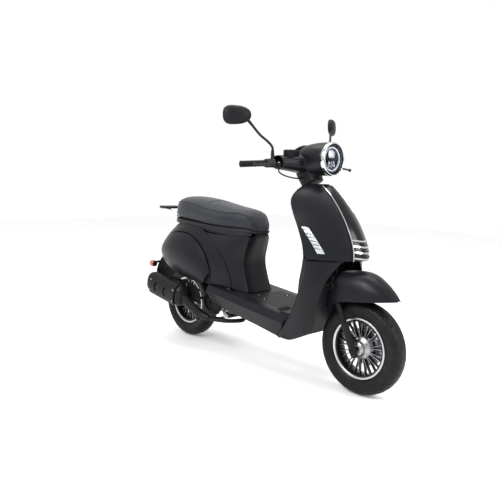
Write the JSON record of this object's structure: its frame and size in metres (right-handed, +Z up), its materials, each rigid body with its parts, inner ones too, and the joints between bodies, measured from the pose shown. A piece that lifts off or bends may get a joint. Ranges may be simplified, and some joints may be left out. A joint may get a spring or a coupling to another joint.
{
  "type": "moped scooter",
  "caption": "Step-through moped scooter with leg shield, round headlamp, floor board, two-step seat, rear rack, swinging power unit and mirrors.",
  "frame": {"origin": "on the ground, below the middle of the overall length, in the middle plane", "axes": "+X forward, +Y to the rider's left, +Z up"},
  "size_m": [1.7379, 0.7948, 1.2787],
  "materials": {
    "aluminium": "machined and cast",
    "amber_lens": "clear amber lens",
    "black_plastic": "matte black",
    "black_steel": "semi-gloss black",
    "body_paint": "satin black",
    "cast_aluminium": "as cast",
    "chrome": "polished",
    "clear_lens": "clear lens over reflector",
    "dial_glass": "clear over dark dial",
    "gloss_black": "gloss black",
    "red_lens": "clear red lens",
    "red_plastic": "red",
    "rubber": "matte black",
    "seat_vinyl": "grained dark grey vinyl",
    "steel": "brushed",
    "tyre_rubber": "black tyre rubber",
    "yellow_plastic": "yellow"
  },
  "bodies": {
    "chassis": {"frame": "black_steel", "inner_shield": "black_plastic", "front_cover": "body_paint", "tie_cover": "gloss_black", "tie_trim": "chrome", "front_indicator_right": "clear_lens", "front_indicator_left": "clear_lens", "wheel_arch": "body_paint", "floor_panel": "body_paint", "under_seat_panel": "body_paint", "body_panel_right": "body_paint", "body_panel_left": "body_paint", "side_cowl_right": "body_paint", "side_cowl_left": "body_paint", "tail_cover": "body_paint", "tail_light": "red_lens", "rear_fender": "black_plastic", "rear_indicator_right": "amber_lens", "rear_indicator_left": "amber_lens", "rear_rack": "chrome", "helmet_box": "black_plastic", "fuel_tank": "black_steel"},
    "key": {"ignition_key": "steel"},
    "seat": {"seat_base": "black_plastic", "seat_cushion": "seat_vinyl"},
    "swing_unit": {"crankcase": "cast_aluminium", "cylinder": "cast_aluminium", "fan_cover": "black_plastic", "transmission_cover": "cast_aluminium", "exhaust": "black_steel", "heat_shield": "black_plastic"},
    "kick_lever": {"kick_starter": "steel"},
    "rear_wheel": {"rear_rim": "aluminium", "rear_tyre": "tyre_rubber"},
    "stand": {"centre_stand": "black_steel"},
    "shock_upper": {"shock_body": "steel", "shock_spring": "steel"},
    "shock_lower": {"shock_rod": "steel"},
    "steering": {"steering_stem": "black_steel", "front_fender": "body_paint", "handlebar": "black_steel", "headset_cowl": "body_paint", "headlight_ring": "chrome", "headlight": "clear_lens", "speedometer": "dial_glass", "left_grip": "rubber", "brake_hose": "rubber"},
    "throttle": {"throttle_grip": "rubber"},
    "lever_right": {"brake_lever_right": "black_steel"},
    "lever_left": {"brake_lever_left": "black_steel"},
    "starter": {"starter_button": "red_plastic"},
    "horn": {"horn_button": "yellow_plastic"},
    "mirror_right_arm": {"mirror_right": "black_plastic"},
    "mirror_left_arm": {"mirror_left": "black_plastic"},
    "fork_lower": {"fork_sliders": "black_steel", "brake_caliper": "cast_aluminium", "lower_brake_hose": "rubber"},
    "front_wheel": {"front_rim": "aluminium", "front_tyre": "tyre_rubber", "brake_disc": "steel"}
  },
  "joints": [
    {"name": "steering_turn", "type": "hinge", "parent": "chassis", "child": "steering", "pos_m": [0.46735, 0, 0.56645], "axis": [-0.4305, 0, 0.9026], "range_deg": [-34, 34]},
    {"name": "fork_travel", "type": "slide", "parent": "steering", "child": "fork_lower", "axis": [-0.4305, 0, 0.9026], "range_m": [0, 0.055], "stiffness_N_per_m": 9000, "springref_m": -0.05},
    {"name": "front_wheel_spin", "type": "hinge", "parent": "fork_lower", "child": "front_wheel", "pos_m": [0.6558, 0, 0.21316], "axis": [0, 1, 0], "continuous": true},
    {"name": "swing_pivot", "type": "hinge", "parent": "chassis", "child": "swing_unit", "pos_m": [-0.1392, 0, 0.315], "axis": [0, 1, 0], "range_deg": [0, 7], "stiffness_Nm_per_rad": 1100, "springref_deg": -21.77},
    {"name": "rear_wheel_spin", "type": "hinge", "parent": "swing_unit", "child": "rear_wheel", "pos_m": [-0.5942, 0, 0.21316], "axis": [0, 1, 0], "continuous": true},
    {"name": "shock_hinge", "type": "hinge", "parent": "chassis", "child": "shock_upper", "pos_m": [-0.5592, 0.112, 0.56], "axis": [0, 1, 0], "range_deg": [-0.5, 3.58]},
    {"name": "shock_travel", "type": "slide", "parent": "shock_upper", "child": "shock_lower", "axis": [0.2445, 0, 0.9697], "range_m": [0, 0.0594], "deforming": ["shock_spring"]},
    {"name": "stand_hinge", "type": "hinge", "parent": "swing_unit", "child": "stand", "pos_m": [-0.2192, 0, 0.186], "axis": [0, -1, 0], "range_deg": [0, 80], "stiffness_Nm_per_rad": 1.5, "springref_deg": -57.3},
    {"name": "kick_hinge", "type": "hinge", "parent": "swing_unit", "child": "kick_lever", "pos_m": [-0.3642, 0.15, 0.235], "axis": [0, -1, 0], "range_deg": [0, 55], "stiffness_Nm_per_rad": 1, "springref_deg": -45.84},
    {"name": "seat_hinge", "type": "hinge", "parent": "chassis", "child": "seat", "pos_m": [-0.0092, 0, 0.658], "axis": [0, 1, 0], "range_deg": [0, 75]},
    {"name": "key_turn", "type": "hinge", "parent": "chassis", "child": "key", "pos_m": [0.2772, -0.04, 0.8], "axis": [0.9037, 0.2711, 0.3314], "range_deg": [0, 90]},
    {"name": "throttle_turn", "type": "hinge", "parent": "steering", "child": "throttle", "pos_m": [0.2428, -0.195, 1.027], "axis": [-0.3173, -0.9457, -0.0702], "range_deg": [0, 70], "stiffness_Nm_per_rad": 0.15, "springref_deg": -11.46},
    {"name": "brake_lever_right_hinge", "type": "hinge", "parent": "steering", "child": "lever_right", "pos_m": [0.28568, -0.2043, 1.02231], "axis": [0, 0, -1], "range_deg": [0, 16], "stiffness_Nm_per_rad": 3, "springref_deg": -5.73},
    {"name": "brake_lever_left_hinge", "type": "hinge", "parent": "steering", "child": "lever_left", "pos_m": [0.28568, 0.2043, 1.02231], "axis": [0, 0, 1], "range_deg": [0, 16], "stiffness_Nm_per_rad": 3, "springref_deg": -5.73},
    {"name": "starter_press", "type": "slide", "parent": "steering", "child": "starter", "axis": [0.8874, -0.27, -0.3738], "range_m": [0, 0.002], "stiffness_N_per_m": 300, "springref_m": -0.001},
    {"name": "horn_press", "type": "slide", "parent": "steering", "child": "horn", "axis": [0.8874, 0.27, -0.3738], "range_m": [0, 0.002], "stiffness_N_per_m": 300, "springref_m": -0.001},
    {"name": "mirror_right_turn", "type": "hinge", "parent": "steering", "child": "mirror_right_arm", "pos_m": [0.23924, -0.19965, 1.05665], "axis": [0, 0, 1], "range_deg": [-15, 15]},
    {"name": "mirror_left_turn", "type": "hinge", "parent": "steering", "child": "mirror_left_arm", "pos_m": [0.23924, 0.19965, 1.05665], "axis": [0, 0, 1], "range_deg": [-15, 15]}
  ],
  "couplings": [
    {"joint": "shock_hinge", "follows": "swing_pivot", "ratio": 0.43956},
    {"joint": "shock_travel", "follows": "swing_pivot", "m_per_rad": 0.46974}
  ]
}
